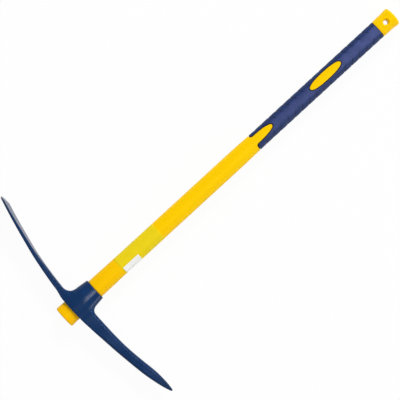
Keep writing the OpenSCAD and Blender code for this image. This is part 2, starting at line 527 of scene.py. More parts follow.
@dataclass(frozen=True)
class ForgePaint(Finish):
    """Semi-gloss enamel over forged steel, greyer towards the tip and the edge.

    Attributes:
        shades: Darkest and lightest shade of the mottle.
        tip_colour: Colour of the rubbed ends.
        tip_y: Distances from the axis between which the rubbing comes in.
        patch_scale: Scale of the patches in the rubbing.
        patch_band: Band of their noise that is spread out.
        patch_least: Least strength of the rubbing between the patches.
        dulled: Roughness that full rubbing adds.
        scuff: Colour of the paint where the blade digs.
        streak_scale: Scale of the streaks in it.
        streak_pull: Shares by which the streaks are drawn along the blade.
        streak_least: Least strength of the scuffs between the streaks.
        wave_scale: Scale of the forging waves.
        wave: Height of the waves as a share of the relief.
        peel: Height of the orange peel as a share of the relief.
    """

    shades: Span = (0.8, 1.25)
    tip_colour: Colour = (0.022, 0.042, 0.09)
    tip_y: Span = (0.22, 0.275)
    patch_scale: float = 90.0
    patch_band: Span = (0.35, 0.7)
    patch_least: float = 0.3
    dulled: float = 0.12
    scuff: Colour = (0.15, 0.165, 0.225)
    streak_scale: float = 420.0
    streak_pull: Place = (1.0, 0.07, 1.0)
    streak_least: float = 0.72
    wave_scale: float = 60.0
    wave: float = 1.3
    peel: float = 0.12

    def material(self) -> bpy.types.Material:
        """Paint with mottle, orange peel, forging waves, rubbed ends and streaked scuffs.

        Returns:
            The material.
        """
        coat = self.start()
        tree, place, grain = coat.tree, coat.place, coat.grain
        ends = tree.span(tree.math("ABSOLUTE", tree.axes(place)["Y"]), *self.tip_y)
        patches = tree.noise(place, self.patch_scale, 4.0)
        rubbed = tree.times(ends, tree.span(patches, *self.patch_band, self.patch_least, 1.0))
        base = tree.blend(grain["Mottle"], *(rgba(self.colour, shade) for shade in self.shades))
        graded = tree.blend(rubbed, base, rgba(self.tip_colour))
        streaks = tree.noise(tree.drawn(place, self.streak_pull), self.streak_scale, 5.0)
        dug = tree.times(tree.mark(), tree.span(streaks, *MIDDLE, self.streak_least, 1.0))
        colour = tree.blend(dug, graded, rgba(self.scuff))
        rough = tree.math("ADD", self.sheen(coat), tree.times(rubbed, self.dulled))
        waves = tree.times(tree.noise(place, self.wave_scale, 2.0), self.wave)
        return self.lay(coat, colour, rough, tree.math("ADD", waves, tree.times(grain["Grain"], self.peel)))


@dataclass(frozen=True)
class MouldedPlastic(Finish):
    """Satin moulded plastic with a fine sparked grain and faint flow marks, darker towards the head end as
    painted shade, and with painted shade where the mesh is marked.

    Attributes:
        shade: Shade of the flow marks and the specks.
        painted_shade: Colour of the painted shade where the mesh is marked: in the seams, at the collar's rim
            and under the head.
        head_end_shade: Darker colour at the head end, painted shade.
        head_end_shade_x: Places along the handle between which the colour runs from the painted shade to plain.
        flow_scale: Scale of the flow marks.
        flow_pull: Shares by which they are drawn along the handle.
        flow: Greatest strength of the flow marks.
        speck: Strength of the specks.
    """

    shade: float = 0.93
    painted_shade: Colour = (0.1, 0.05, 0.006)
    head_end_shade: Colour = (0.97, 0.51, 0.001)
    head_end_shade_x: Span = (-0.05, 0.3)
    flow_scale: float = 90.0
    flow_pull: Place = (0.15, 1.0, 1.0)
    flow: float = 0.35
    speck: float = 0.12

    def material(self) -> bpy.types.Material:
        """Plastic with flow marks, grain and specks, painted shade towards the head end, and painted shade
        where the mesh is marked.

        Returns:
            The material.
        """
        coat = self.start()
        tree, place, grain = coat.tree, coat.place, coat.grain
        # painted shade: the colour darkens towards the head end
        along = tree.span(tree.axes(place)["X"], *self.head_end_shade_x)
        plain = tree.blend(along, rgba(self.head_end_shade), rgba(self.colour))
        dark = rgba(self.colour, self.shade)
        marks = tree.noise(tree.drawn(place, self.flow_pull), self.flow_scale, 3.0)
        base = tree.blend(tree.span(marks, *MIDDLE, self.flow, 0.0), plain, dark)
        specked = tree.blend(tree.times(grain["Specks"], self.speck), base, dark)
        # painted shade where the mesh is marked: seams, a line at the collar's rim and a painted shadow of the
        # head on the stub
        colour = tree.blend(tree.mark(), specked, rgba(self.painted_shade))
        return self.lay(coat, colour, self.sheen(coat), grain["Grain"])


@dataclass(frozen=True)
class SoftRubber(Finish):
    """Matte soft skin with a fine grain, painted shade in its grooves and seams, and a painted highlight along
    the crest of its broad faces.

    Attributes:
        crest_highlight: Colour of the painted highlight.
        crest_highlight_z: Heights over the middle plane between which the painted highlight comes in.
        crest_highlight_x: Places along the handle between which the painted highlight grows.
        crest_highlight_least: Strength of the painted highlight where it is weakest along the handle.
        cloud_least: Strength of the painted highlight where its clouds are thinnest.
        groove: Colour of the painted shade in the grooves and seams.
        pit: Strength of the specks, which are free of the painted highlight.
        pit_depth: Depth of the specks as a share of the relief.
    """

    crest_highlight: Colour = (0.062, 0.085, 0.245)
    crest_highlight_z: Span = (0.0122, 0.0152)
    crest_highlight_x: Span = (0.58, 0.9)
    crest_highlight_least: float = 0.62
    cloud_least: float = 0.55
    groove: Colour = (0.011, 0.016, 0.055)
    pit: float = 0.3
    pit_depth: float = 0.6

    def material(self) -> bpy.types.Material:
        """Rubber with a painted highlight, grain, pits and painted shade in its grooves.

        Returns:
            The material.
        """
        coat = self.start()
        tree, grain, axes = coat.tree, coat.grain, coat.tree.axes(coat.place)
        # painted highlight: lighter on the crest of the broad faces, growing towards the butt and clouded by
        # the mottle
        graded = tree.span(axes["X"], *self.crest_highlight_x, self.crest_highlight_least, 1.0)
        face = tree.times(graded, tree.span(tree.math("ABSOLUTE", axes["Z"]), *self.crest_highlight_z))
        cloud = tree.span(grain["Mottle"], *MIDDLE, self.cloud_least, 1.0)
        base = tree.blend(tree.times(face, cloud), rgba(self.colour), rgba(self.crest_highlight))
        pitted = tree.blend(tree.times(grain["Specks"], self.pit), base, rgba(self.colour))
        # painted shade in the grooves and seams, where the mesh is marked
        colour = tree.blend(tree.mark(), pitted, rgba(self.groove))
        height = tree.math("SUBTRACT", grain["Grain"], tree.times(grain["Specks"], self.pit_depth))
        return self.lay(coat, colour, self.sheen(coat), height)


@dataclass(frozen=True)
class FibreRod(Finish):
    """Sawn end of a fibreglass rod: pale fibre bundles in darker resin.

    Attributes:
        resin: Colour of the resin.
        bundle_scale: Scale of the bundles.
        bundle_edge: Distances from a bundle's edge between which it comes out of the resin.
        stain: Strength of the resin's mottle over the bundles.
    """

    resin: Colour = (0.4, 0.34, 0.18)
    bundle_scale: float = 900.0
    bundle_edge: Span = (0.02, 0.2)
    stain: float = 0.4

    def material(self) -> bpy.types.Material:
        """Rod with fibre bundles and a rough cut.

        Returns:
            The material.
        """
        coat = self.start()
        tree, grain = coat.tree, coat.grain
        cells = {"Vector": coat.place, "Scale": self.bundle_scale}
        bundles = tree.add("TexVoronoi", cells, feature="DISTANCE_TO_EDGE")
        fibre = tree.span(bundles.outputs["Distance"], *self.bundle_edge)
        base = tree.blend(fibre, rgba(self.resin), rgba(self.colour))
        colour = tree.blend(tree.times(grain["Mottle"], self.stain), base, rgba(self.resin))
        return self.lay(coat, colour, self.rough, tree.math("ADD", fibre, grain["Grain"]))


@dataclass(frozen=True)
class LabelFilm(Finish):
    """Thin glossy film with a faint ink mottle and small air marks.

    Attributes:
        ink: Colour of the mottle.
        ink_band: Band of the noise over which the mottle comes in.
        ink_most: Greatest strength of the mottle.
        paper: Height of the grain as a share of the relief.
    """

    ink: Colour = (0.7, 0.55, 0.01)
    ink_band: Span = (0.3, 0.75)
    ink_most: float = 0.22
    paper: float = 0.3

    def material(self) -> bpy.types.Material:
        """Film with ink mottle and air marks.

        Returns:
            The material.
        """
        coat = self.start()
        tree, grain = coat.tree, coat.grain
        inked = tree.span(grain["Mottle"], *self.ink_band, 0.0, self.ink_most)
        colour = tree.blend(inked, rgba(self.colour), rgba(self.ink))
        height = tree.math("ADD", grain["Specks"], tree.times(grain["Grain"], self.paper))
        return self.lay(coat, colour, self.sheen(coat), height)


WARM = (1.0, 0.75, 0.08)
NAVY_PAINT = ForgePaint(
    "navy_paint_finish", (0.005, 0.03, 0.105), 0.19, 0.00006, (24.0, 1100.0, 220.0), (0.05, 0.06), 0.17
)
YELLOW_JACKET = MouldedPlastic(
    "yellow_jacket_finish", (0.98, 0.6, 0.001), 0.42, 0.00003, (40.0, 2400.0, 160.0), (0.04, 0.06), 0.3, WARM
)
BLUE_GRIP = SoftRubber(
    "blue_grip_finish", (0.014, 0.032, 0.118), 0.55, 0.00008, (60.0, 2200.0, 900.0), (0.06, 0.06), 0.25
)
FIBRE_END = FibreRod("fibreglass", (0.72, 0.68, 0.52), 0.6, 0.00008, (200.0, 2500.0, 700.0))
LEMON_FILM = LabelFilm(
    "label_film_finish", (0.84, 0.65, 0.012), 0.36, 0.00003, (60.0, 900.0, 130.0), (0.05, 0.08), 0.2, WARM
)
WHITE_PANEL = LabelFilm(
    "label_panel_finish", (0.9, 0.9, 0.88), 0.35, 0.00003, (60.0, 900.0, 130.0), (0.05, 0.08), 0.2,
    ink=(0.8, 0.8, 0.77),
)


def dress(piece: bpy.types.Object, finish: Finish, body: Body) -> bpy.types.Object:
    """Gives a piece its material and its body.

    Args:
        piece: The piece.
        finish: Its finish.
        body: The body it rides on.

    Returns:
        The piece.
    """
    piece.data.materials.append(finish.material())
    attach(piece, body.value)
    return piece


# ---------------------------------------------------------------- head


@dataclass
class Taper:
    """Squared oval that the eye of the head and the handle share, with the taper on which they jam.

    Attributes:
        oval: Depth over width.
        square: Exponent of the squared oval.
        r_neck: Half width of the handle at the collar's rim.
        swell: Growth of the half width from the rim to the head end.
        rim_x: Place of the rim.
    """

    oval: float = 0.78
    square: float = 2.2
    r_neck: float = 0.0215
    swell: float = 0.0033
    rim_x: float = 0.0896

    def taper_r(self, x: Array) -> Array:
        """Half width of the taper, which grows evenly from the rim to the head end."""
        return self.r_neck + self.swell * (self.rim_x - x) / self.rim_x

    def side_level(self, p: Array, r: Array) -> Array:
        """Distance of points to the oval with the half width r."""
        return oval_level(p[..., 1], p[..., 2], r, self.oval * r, self.square)


@dataclass
class Section:
    """Half of an arm's section at each station.

    Attributes:
        back: Place of the back along the handle.
        inner: Place of the inner face.
        half: Half depth.
        shoulder: Place where the side ends and the roof begins.
        crest: Half width of the flat on the inner face.
        soft: Rounding of the edges.
        cut: Cut at the corners of the back.
    """

    back: Array
    inner: Array
    half: Array
    shoulder: Array
    crest: Array
    soft: Array
    cut: Array


@dataclass
class PickHead(Taper):
    """Forged head: a point and a blade drawn out of a collared eye.

    A pair whose name ends in _at gives the start and the run of a change along an arm.
    """

    # collar and eye
    front_x: float = 0.024
    eye_gap: float = 0.0004
    r_rim: float = 0.0252
    rim_round: float = 0.0013
    flare: float = 0.004
    flare_run: float = 0.032
    flare_soft: float = 0.3
    mouth: float = 0.0007
    wall_r: float = 0.0245
    # blade: the pairs are shares of its reach
    blade_reach: float = 0.2798
    blade_x0: float = 0.0254
    blade_drop: float = 0.0487
    blade_bend: float = 1.68
    blade_bulge: float = 0.0007
    bulge_at: Span = (0.48, 0.2)
    waist_w: float = 0.027
    blade_w: float = 0.052
    spread_from: float = 0.2
    spread_bend: float = 1.2
    blade_root: float = 0.0136
    waist_t: float = 0.0112
    waist_at: Span = (0.15, 0.3)
    rib_t: float = 0.0103
    rib_at: Span = (0.45, 0.45)
    side_t: float = 0.0041
    side_run: float = 0.0092
    crest_w: float = 0.004
    roof_at: Span = (0.36, 0.2)
    bevel_len: float = 0.023
    edge_t: float = 0.0014
    edge_cut: float = 0.2
    edge_bow: float = 0.005
    bow_end: float = 0.995
    worn_corner: Span = (2.0, 1.4)
    blade_fillet: float = 0.024
    # point
    point_reach: float = 0.27
    point_x0: float = 0.0243
    point_drop: float = 0.0246
    point_root: float = 0.031
    point_t: float = 0.0216
    point_line: tuple = ((0, 0), (0.2, 0.01), (0.46, 0.17), (0.65, 0.42), (0.84, 0.75), (1, 1))
    point_swell: tuple = ((0, 1), (0.2, 0.72), (0.37, 0.28), (0.56, 0), (1, 0))
    tip_len: float = 0.07
    tip_bends: Span = (1.6, 0.6)
    tip_full: float = 0.999
    tip_least: float = 0.2
    tip_round: float = 0.0036
    tip_end: float = 0.99
    point_fillet: float = 0.016
    # both arms: cheeks, edges and welds
    arm_from: float = 0.012
    cheek_y: float = 0.016
    cheek_h: float = 0.0178
    cheek_run: float = 0.029
    chamfer: float = 0.004
    soft: float = 0.0007
    soft_least: float = 0.1
    web_crest: float = 0.35
    back_at: Span = (0.027, 0.028)
    back_edges: Span = (0.0028, 0.0012)
    back_edge_at: Span = (0.03, 0.03)
    back_edge_least: float = 0.0001
    end_run: float = 0.03
    corner_room: float = 0.008
    corner_at: Span = (0.03, 0.06)
    weld: float = 0.006
    sink: float = 0.0018
    lap: float = 0.0008
    dip: float = 0.00005
    # rays and rows
    ring_steps: tuple = (6, 20, 16, 28, 16, 20, 6, 28)
    ring_cut: Span = (0.15, 0.4)
    ring_ease: float = 0.92
    ray_len: float = 4.0
    near_rows: tuple = ((0.014, 0.03, 26), (0.03, 0.07, 40))
    far_y: float = 0.072
    bevel_y: Span = (0.026, 0.02)
    blade_rows: tuple[int, int, int] = (70, 10, 14)
    bow_rows: int = 26
    point_rows: int = 60
    tip_rows: int = 54
    tip_pack: float = 2.4
    collar_cols: int = 280
    collar_ends: Span = (0.004, 0.003)
    collar_rows: tuple[int, int, int] = (14, 62, 10)
    collar_from: float = 0.8
    collar_spare: float = 0.0015
    eye_rows: int = 18
    mouth_rows: int = 5
    face_rows: int = 8

    def collar_r(self, x: Array) -> Array:
        """Half width of the collar: a flare from the rim that levels out at the arms."""
        rise = smooth_min((self.rim_x - x) / self.flare_run, np.ones_like(x), self.flare_soft)
        return self.r_rim + self.flare * rise

    def eye_r(self, x: Array) -> Array:
        """Half width of the eye, which repeats the handle's taper."""
        return self.taper_r(x) + self.eye_gap

    def fillet(self, y: Array, inner: float, radius: float) -> Array:
        """Quarter circle that carries an arm's inner face up to the collar.

        Args:
            y: Distance from the axis.
            inner: Place of the inner face along the handle.
            radius: Radius of the circle.

        Returns:
            Height of the fillet over the inner face.
        """
        start = self.collar_r(np.array(inner + radius)) - self.sink
        near = radius - np.clip(y - start, 0.0, radius)
        return radius - np.sqrt(radius * radius - near * near)

    def cheek(self, y: Array, half: Array) -> Array:
        """Square-law rise of an arm's half depth into the cheek of the eye."""
        fall = 1.0 - np.clip((y - self.cheek_y) / self.cheek_run, 0.0, 1.0)
        return (self.cheek_h - half) * fall * fall

    def back_line(self, y: Array, back: Array) -> Array:
        """Back of the head: flat over the collar, eased on to the arm's own back."""
        return self.front_x + (back - self.front_x) * ramp(y, *self.back_at)

    def roof(self, y: Array) -> Array:
        """Share of the roofed chisel in the blade's section, which grows along the blade."""
        return ramp(y / self.blade_reach, *self.roof_at)

    def blade_section(self, y: Array) -> Section:
        """Section of the blade: a bar that turns into a roofed chisel with a bevel and a bowed edge.

        Args:
            y: Distance from the axis.

        Returns:
            The section.
        """
        u, s = y / self.blade_reach, self.blade_reach - y
        waist = mix(self.blade_root, self.waist_t, ramp(u, *self.waist_at))
        body = mix(waist, self.rib_t, ramp(u, *self.rib_at))
        thick = mix(self.edge_t, body, np.minimum(1.0, s / self.bevel_len))
        k = thick / body
        back = self.blade_x0 + self.blade_drop * u**self.blade_bend
        back = back + self.blade_bulge * ramp(u, *self.bulge_at)
        web = self.fillet(y, self.blade_x0 + self.blade_root, self.blade_fillet)
        spread = np.maximum(u - self.spread_from, 0.0) / (1.0 - self.spread_from)
        base = mix(self.waist_w, self.blade_w, spread**self.spread_bend) / 2
        bow = np.sqrt(1.0 - np.clip(1.0 - s / self.edge_bow, 0.0, self.bow_end) ** 2)
        half = (base + self.cheek(y, base)) * bow
        cut = self.chamfer / 2 * k
        roof = self.roof(y)
        flat = mix(half - cut, self.web_crest * half, web / self.blade_fillet)
        side = np.minimum(self.side_t + self.side_run * (1.0 - u), body - cut)
        rise = np.clip((thick - side) / (body - side), 0.0, 1.0)
        ridge = mix(half, np.minimum(self.crest_w, half) / 2, rise)
        crest = mix(flat, np.minimum(ridge, half - self.edge_cut * thick), roof)
        wall = np.minimum(side, (1.0 - self.edge_cut) * thick)
        shoulder = mix(back + thick - cut, back + wall, roof)
        soft = self.soft * np.maximum(k, self.soft_least)
        return Section(self.back_line(y, back), back + thick + web, half, shoulder, crest, soft, cut / 2)

    def point_section(self, y: Array) -> Section:
        """Section of the point: a chamfered square that follows a curved middle line to a drawn-out tip.

        Args:
            y: Distance from the axis.

        Returns:
            The section.
        """
        u, s = y / self.point_reach, self.point_reach - y
        rest = np.minimum(s / self.tip_len, self.tip_full)
        drawn = (1.0 - (1.0 - rest) ** self.tip_bends[0]) ** self.tip_bends[1]
        end = np.clip(1.0 - s / self.tip_round, 0.0, self.tip_end)
        k = smooth_max(drawn, np.full_like(y, self.tip_least), self.tip_least) * np.sqrt(1.0 - end * end)
        thick = mix(self.point_t, self.point_root, curve(self.point_swell, u)) * k
        middle = self.point_x0 + self.point_root / 2 + self.point_drop * curve(self.point_line, u)
        back, inner = middle - thick / 2, middle + thick / 2
        web = self.fillet(y, self.point_x0 + self.point_root, self.point_fillet)
        base = self.point_t / 2 * k
        half = base + self.cheek(y, base)
        cut = self.chamfer * k
        crest = mix(half - cut, self.web_crest * half, web / self.point_fillet)
        shoulder = back + thick - cut
        return Section(self.back_line(y, back), inner + web, half, shoulder, crest, self.soft * k, cut)

    def section(self, arm: Arm, y: Array) -> Section:
        """Section of an arm at the distance y from the axis."""
        return self.blade_section(y) if arm is Arm.BLADE else self.point_section(y)

    def reach(self, arm: Arm) -> float:
        """Reach of an arm from the axis."""
        return self.blade_reach if arm is Arm.BLADE else self.point_reach

    def collar_level(self, p: Array) -> Array:
        """Distance to the collar's flared oval."""
        return self.side_level(p, self.collar_r(p[..., 0]))

    def arm_levels(self, arm: Arm, p: Array) -> tuple[Array, Array]:
        """Distance to an arm without its back, and distance to its back with the back's cut corners.

        Args:
            arm: The arm.
            p: Points.

        Returns:
            The two fields.
        """
        out = p[..., 1] * arm.value
        y = np.clip(out, 0.0, self.reach(arm))
        s = self.section(arm, y)
        x, z = p[..., 0], np.abs(p[..., 2])
        run, rise = s.half - s.crest, s.inner - s.shoulder
        roof = ((x - s.shoulder) * run + (z - s.half) * rise) / np.hypot(run, rise)
        bar = smooth_max(smooth_max(x - s.inner, roof, s.soft), z - s.half, s.soft)
        room = self.corner_room * (1.0 - ramp(y, *self.corner_at))
        corner = ((s.back + s.cut - x) + (z - s.half)) / np.sqrt(2.0) - room
        back = smooth_max(s.back - x, corner, s.soft)
        return np.maximum(bar, self.arm_from - out), np.where(out > 0.0, back, self.front_x - x)

    def level(self, p: Array) -> Array:
        """Field of the head without its eye: collar and arms welded together, cut at the back and the rim.

        Args:
            p: Points.

        Returns:
            The field, below zero inside.
        """
        body = self.collar_level(p)
        back = self.front_x - p[..., 0]
        for arm in Arm:
            bar, own_back = self.arm_levels(arm, p)
            body = smooth_min(body, bar, self.weld)
            back = np.where(p[..., 1] * arm.value > 0.0, own_back, back)
        y = np.abs(p[..., 1])
        left = np.where(p[..., 1] > 0.0, self.blade_reach - y, self.point_reach - y)
        edge = mix(*self.back_edges, ramp(y, *self.back_edge_at)) * np.clip(left / self.end_run, 0.0, 1.0)
        body = smooth_max(body, back, np.maximum(edge, self.back_edge_least))
        return smooth_max(body, p[..., 0] - self.rim_x, self.rim_round)

    def weld_side(self, p: Array) -> Array:
        """Which skin shows at a point: an arm's above zero, the collar's below."""
        bars = [self.arm_levels(arm, p)[0] for arm in Arm]
        return self.collar_level(p) - np.maximum(np.minimum(*bars), -self.dip)

    def sunk(self, side: Array) -> Array:
        """Dip of a skin where the other one shows, full at the lap's end."""
        return self.dip * np.clip(side / self.lap, 0.0, 1.0)

    def ring(self, arm: Arm, y: Array) -> tuple[Array, Array]:
        """Rays of an arm: from the middle of each station to points along its eight-sided section.

        Args:
            arm: The arm.
            y: Stations.

        Returns:
            The starts and the directions, as stations by rays.
        """
        s = self.section(arm, y)
        c = np.maximum(s.cut, self.ring_cut[0] * s.half)
        c = np.minimum(c, self.ring_cut[1] * (s.shoulder - s.back))
        xs = [s.back, s.back + c, s.shoulder, s.inner, s.inner, s.shoulder, s.back + c, s.back]
        zs = [s.half - c, s.half, s.half, s.crest, -s.crest, -s.half, -s.half, c - s.half]
        corners = np.stack([np.stack(xs, -1), np.stack(zs, -1)], -1)
        parts = []
        for n, count in enumerate(self.ring_steps):
            t = mix(np.arange(count) / count, ease(np.arange(count) / count), self.ring_ease)
            a, b = corners[:, n, None], corners[:, (n + 1) % len(xs), None]
            parts.append(a + (b - a) * t[None, :, None])
        x, z = np.moveaxis(np.concatenate(parts, axis=1), -1, 0)
        centre = (s.back + np.minimum(s.inner, s.back + self.point_root)) / 2
        starts = np.stack([centre, arm.value * y, 0 * y], -1)[:, None]
        return starts, np.stack([x, arm.value * y[:, None] + 0 * x, z], -1) - starts

    def arm_sheet(self, arm: Arm) -> Sheet:
        """Skin of an arm: rays in each station's plane, cast to the head's field.

        Args:
            arm: The arm.

        Returns:
            The sheet, closed at the arm's end.
        """
        reach = self.reach(arm)
        if arm is Arm.BLADE:
            end = reach - self.edge_bow * (np.arange(self.bow_rows, -1, -1) / self.bow_rows) ** 2
            a, b = (reach - away for away in self.bevel_y)
            far = stations(*zip((self.far_y, a, b), (a, b, end[0]), self.blade_rows))
        else:
            end = reach - self.tip_len * (np.arange(self.tip_rows, -1, -1) / self.tip_rows) ** self.tip_pack
            far = stations((self.far_y, end[0], self.point_rows))
        y = np.concatenate([stations(*self.near_rows), far[:-1], end])
        starts, ways = self.ring(arm, y)

        def skin(p: Array) -> Array:
            """Field of the head, sunk where the collar's skin shows."""
            return self.level(p) + self.sunk(-self.weld_side(p))

        points = cast(skin, starts, ways, self.ray_len)
        keep = self.weld_side(points) > -self.lap
        marks = self.scuffs(y) if arm is Arm.BLADE else None
        return Sheet(points, starts, keep=keep, fans=(False, True), marks=marks)

    def scuffs(self, y: Array) -> Array:
        """Wear of the blade's paint: over the roof of the inner face, and round the corners of its edge.

        The wear of the corners falls evenly with the distance from the edge, in bows, and is then eased.

        Args:
            y: Stations of the blade.

        Returns:
            Marks from 0 to 1, as stations by columns of the ring.
        """
        ends = np.cumsum(self.ring_steps)
        place = np.arange(ends[-1])
        inner = (place >= ends[1]) & (place <= ends[4])
        sides = place < ends[6]
        most, fall = self.worn_corner
        corner = ease(most - fall * (self.blade_reach - y) / self.edge_bow)
        return np.maximum(self.roof(y)[:, None] * inner, corner[:, None] * sides)

    def collar_sheet(self) -> Sheet:
        """Skin of the collar as a ring: eye, front face, outside and rim, the outside cast to the head's field.

        Returns:
            The sheet, closed both ways.
        """
        front, rim, e = self.front_x, self.rim_x, self.mouth
        c, s = oval_unit(full_turn(self.collar_cols), self.square)
        way = np.stack([0 * c, c, self.oval * s], -1)
        a, b = front + self.collar_ends[0], rim - self.collar_ends[1]
        x = stations(*zip((front, a, b), (a, b, rim), self.collar_rows))
        x[0], x[-1] = x[0] + TINY, x[-1] - TINY
        begin = self.collar_from * self.r_rim
        reach = self.collar_r(x) + self.collar_spare + self.lap - begin

        def skin(p: Array) -> Array:
            """Field of the head, sunk where an arm's skin shows."""
            return self.level(p) + self.sunk(self.weld_side(p))

        outside = cast(skin, self.ring_rows(x, 0 * x + begin, way), way, reach[:, None])
        shown = (self.weld_side(outside) < self.lap) & (skin(outside) > -self.dip)
        arc = np.linspace(0.0, np.pi / 2, self.mouth_rows)[1:]
        along, wider = e * (1 - np.sin(arc)), e * (1 - np.cos(arc))
        eye_x = np.append(np.linspace(rim - e, front + e, self.eye_rows), front + along)
        eye = self.ring_rows(eye_x, self.eye_r(eye_x) + np.append(np.zeros(self.eye_rows), wider), way)
        lip_x = rim - along[::-1]
        lip = self.ring_rows(lip_x, self.eye_r(lip_x) + wider[::-1], way)
        face = between(eye[-1:], outside[:1], self.face_rows)
        face[..., 0] += self.sunk(self.weld_side(face))
        points = np.concatenate([eye, face, outside, between(outside[-1:], lip[:1], self.face_rows), lip])
        first = len(eye) + len(face)
        keep = np.ones(points.shape[:2], dtype=bool)
        keep[first + 1 : first + len(outside)] = shown[1:]
        middle = self.ring_rows(np.array([(front + rim) / 2]), np.array([self.wall_r]), way)
        return Sheet(points, middle, loop_rows=True, keep=keep)

    @staticmethod
    def ring_rows(x: Array, r: Array, way: Array) -> Array:
        """Oval rings at the stations x with the half widths r."""
        return np.stack([x, 0 * x, 0 * x], -1)[:, None] + r[:, None, None] * way

    def build(self) -> list[bpy.types.Object]:
        """Builds and dresses the head.

        Returns:
            Its one piece.
        """
        sheets = [self.arm_sheet(Arm.BLADE), self.arm_sheet(Arm.POINT), self.collar_sheet()]
        piece = dress(make_piece("forged_head", sheets), NAVY_PAINT, Body.HEAD)
        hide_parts("pick_head")
        return [piece]


# ---------------------------------------------------------------- handle


@dataclass
class Handle(Taper):
    """Moulded handle: hard jacket, cap with a hang hole, soft grip, rod and bare label.

    A pair whose name ends in _at gives the start and the run of a change.
    """

    # outline
    length: float = 0.95
    r_shaft: float = 0.0206
    slim_len: float = 0.11
    r_grip: float = 0.0197
    run_len: float = 0.05
    r_butt: float = 0.0212
    flare_len: float = 0.022
    end_round: float = 0.003
    # jacket: place and widening of the bore's rows, rows of the shaft, gate mark
    core_r: float = 0.01005
    bore_x: tuple = (0.02, 0.0105, 0.001, 0.0003, 0.0)
    bore_wider: tuple = (0.0, 0.0, 0.0, 0.0001, 0.0004)
    face_rows: int = 5
    round_rows: int = 9
    shaft_rows: tuple = (
        (0.004, 0.087, 26), (0.087, 0.093, 16), (0.093, 0.2, 22), (0.2, 0.44, 28),
        (0.44, 0.458, 36), (0.458, 0.5, 8), (0.5, 0.546, 18),
    )
    joint_x: float = 0.546
    turn_x: float = 0.46
    gate_x: float = 0.449
    gate_r: float = 0.0022
    gate_depth: float = 0.0006
    gate_at: Span = (0.7, 0.5)
    nub_h: float = 0.0004
    nub_at: Span = (0.0004, 0.0006)
    # grip, and the window and the tongue in it
    grip_x0: float = 0.549
    grip_x1: float = 0.9052
    skin: float = 0.0024
    foot: float = 0.0001
    wall_gap: float = 0.00005
    wall_x: Span = (0.8, 0.7)
    tuck: float = 0.0015
    under: float = 0.004
    window_x: float = 0.7553
    window_len: float = 0.0882
    window_w: float = 0.0209
    window_set: float = 0.003
    window_power: float = 2.4
    tongue_len: float = 0.0537
    prong_round: float = 0.0075
    bridge: float = 0.0003
    meet_x: Span = (0.655, 0.855)
    meet_rows: tuple[int, int, int, int] = (100, 96, 88, 46)
    rib_pitch: float = 0.0205
    rib_depth: float = 0.0006
    rib_w: float = 0.0013
    rib_sweep: float = 0.92
    rib_slope: float = 0.25
    rib_least: float = 0.12
    rib_side_at: Span = (0.005, 0.009)
    rib_clear_at: Span = (0.002, 0.004)
    # seams: rounding, half gap, close columns, reach of the search, rows by the edges
    seam: float = 0.0009
    seam_gap: float = 0.0007
    seam_band: float = 0.0018
    seam_cols: tuple[int, int, int, int] = (14, 8, 64, 18)
    seam_reach: float = 0.06
    tongue_stop: float = 0.0012
    tongue_rows: int = 64
    tongue_lead: tuple = (0.0009, 0.0006, 0.0004, 0.0002, 0.0001, 0.0)
    pad_cols: int = 176
    pad_inset: tuple = (0.0, 0.0, 0.0001, 0.0002, 0.0004, 0.0006, 0.0009, 0.0013, 0.002)
    pad_line: float = 0.86
    pad_rows: int = 8
    grip_lead: tuple = (0.0, 0.0001, 0.00025, 0.00045, 0.0007, 0.001, 0.0014)
    # cap
    cap_lift: float = 0.0005
    cap_neck: float = 0.003
    neck_run: float = 0.0012
    neck_round: float = 0.0011
    end_bow: float = 0.0018
    butt_round: float = 0.006
    hole_x: float = 0.926
    hole_r: float = 0.0052
    hole_chamfer: float = 0.0022
    hole_slope: float = 0.6
    hole_round: float = 0.0012
    bead: float = 0.0006
    bead_r: float = 0.0098
    bead_w: float = 0.0016
    cap_ring: float = 0.0128
    cap_ray: float = 0.04
    cap_grid: tuple[int, int] = (224, 144)
    # painted shade: strength, place and width of a painted shade line at the collar's rim, of a painted shadow
    # of the head at its front, and of painted shade in the seams
    seat_shade: float = 0.7
    seat_shade_gap: float = 0.0006
    seat_shade_w: float = 0.0009
    foot_shadow: float = 0.36
    foot_shadow_x: float = 0.0208
    foot_shadow_w: float = 0.0036
    seam_shade: float = 0.8
    seam_shade_w: float = 0.0012
    # label
    label_x: Span = (0.159, 0.274)
    label_turn: Span = (-0.5 * np.pi - 0.05, 1.5 * np.pi + 0.05)
    panel_x: Span = (0.163, 0.208)
    panel_turn: Span = (1.88, 3.6)
    film: float = 0.00014
    film_back: float = 0.00005
    film_edge: float = 0.9
    film_grid: tuple[int, int] = (48, 240)
    lap_at: Span = (np.pi - 0.06, 0.05)

    def turn_at(self, y: Array) -> Array:
        """Angle round the upper half of the grip's oval at the places y across it."""
        share = np.clip(y / self.r_grip, -1.0, 1.0)
        return np.arccos(np.sign(share) * np.abs(share) ** (self.square / 2))

    def seam_columns(self, gap: float) -> Array:
        """Angles of columns that are close together where the seams run along the handle.

        Args:
            gap: Distance of the columns' edge outside the seam's middle.

        Returns:
            The angles, once round.
        """
        half = self.window_w / 2 + gap
        left, right = self.window_set + half, self.window_set - half
        first, band, middle, last = self.seam_cols
        across, _ = oval_unit(np.linspace(0.0, np.pi, middle + 1), self.window_power)
        upper = np.concatenate([
            np.linspace(0.0, self.turn_at(left + self.seam_band), first, endpoint=False),
            self.turn_at(np.linspace(left + self.seam_band, left, band, endpoint=False)),
            self.turn_at(self.window_set + half * across),
            self.turn_at(np.linspace(right, right - self.seam_band, band + 1)[1:]),
            np.linspace(self.turn_at(right - self.seam_band), np.pi, last + 1)[1:],
        ])
        return np.concatenate([upper, 2 * np.pi - upper[-2:0:-1]])

    def seam_y(self, turn: Array) -> Array:
        """Place across the grip at the angles."""
        return self.r_grip * oval_unit(turn, self.square)[0]

